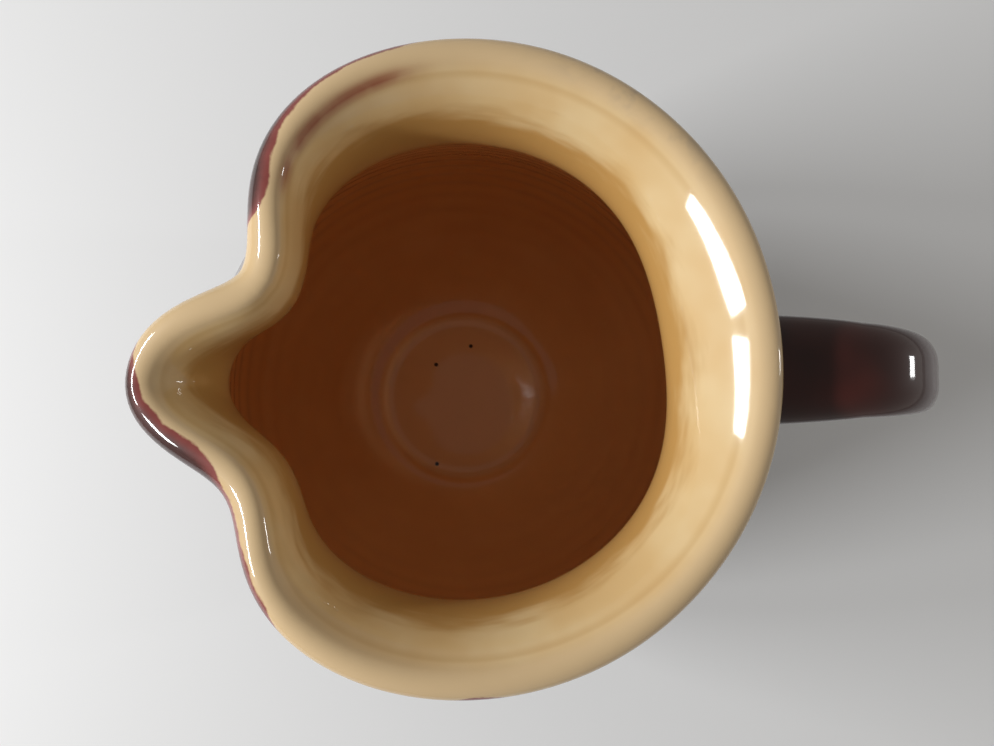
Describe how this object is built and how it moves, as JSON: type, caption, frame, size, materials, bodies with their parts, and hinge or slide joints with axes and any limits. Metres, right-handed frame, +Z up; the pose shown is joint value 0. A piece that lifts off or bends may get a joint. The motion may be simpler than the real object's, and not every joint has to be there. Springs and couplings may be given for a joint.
{
  "type": "milk jug",
  "caption": "Small glazed earthenware milk jug in one piece: round belly, flared mouth, pinched spout and a pulled strap handle.",
  "frame": {"origin": "on the axis of the wheel, in the plane of the foot ring that the jug stands on", "axes": "+Z up out of the mouth, +X towards the handle, -X towards the spout"},
  "size_m": [0.16, 0.131, 0.15],
  "materials": {
    "glazed_clay": "glossy dark red-brown glaze outside and on the handle, glossy honey glaze inside and over the lip, bare red clay under the foot"
  },
  "bodies": {
    "root": {"jug": "glazed_clay"}
  },
  "joints": []
}
